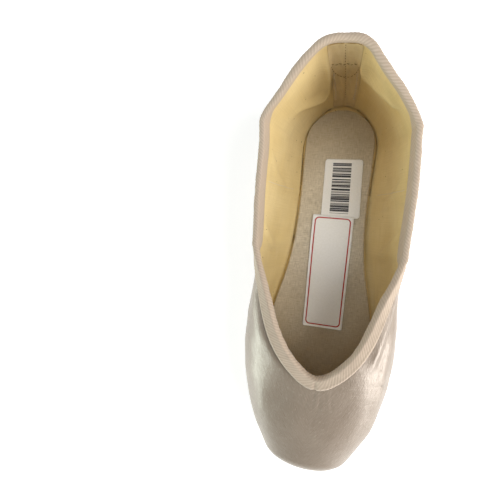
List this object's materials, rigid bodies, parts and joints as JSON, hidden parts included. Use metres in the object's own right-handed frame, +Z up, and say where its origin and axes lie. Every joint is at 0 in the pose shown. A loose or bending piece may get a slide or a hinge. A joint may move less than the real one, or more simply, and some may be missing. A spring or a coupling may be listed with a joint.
{
  "type": "pointe shoe",
  "caption": "Satin ballet pointe shoe with a stiff flat-ended toe box, soft quarters, a bound V-shaped throat and a small leather outsole.",
  "frame": {"origin": "on the floor, on the centre line, under the middle of the shoe's overall length", "axes": "+Y from toe to heel, +Z up from the floor, +X across the shoe to the wearer's left"},
  "size_m": [0.0798, 0.2172, 0.0619],
  "materials": {
    "upper": "satin weave over paste-stiffened fabric, soft sheen",
    "binding": "folded twill tape, matte",
    "outsole": "undyed sole leather, lightly burnished",
    "insole": "plain linen weave over a fibre board, matte"
  },
  "bodies": {
    "root": {"upper": "upper", "binding": "binding", "outsole": "outsole", "insole": "insole"}
  },
  "joints": []
}
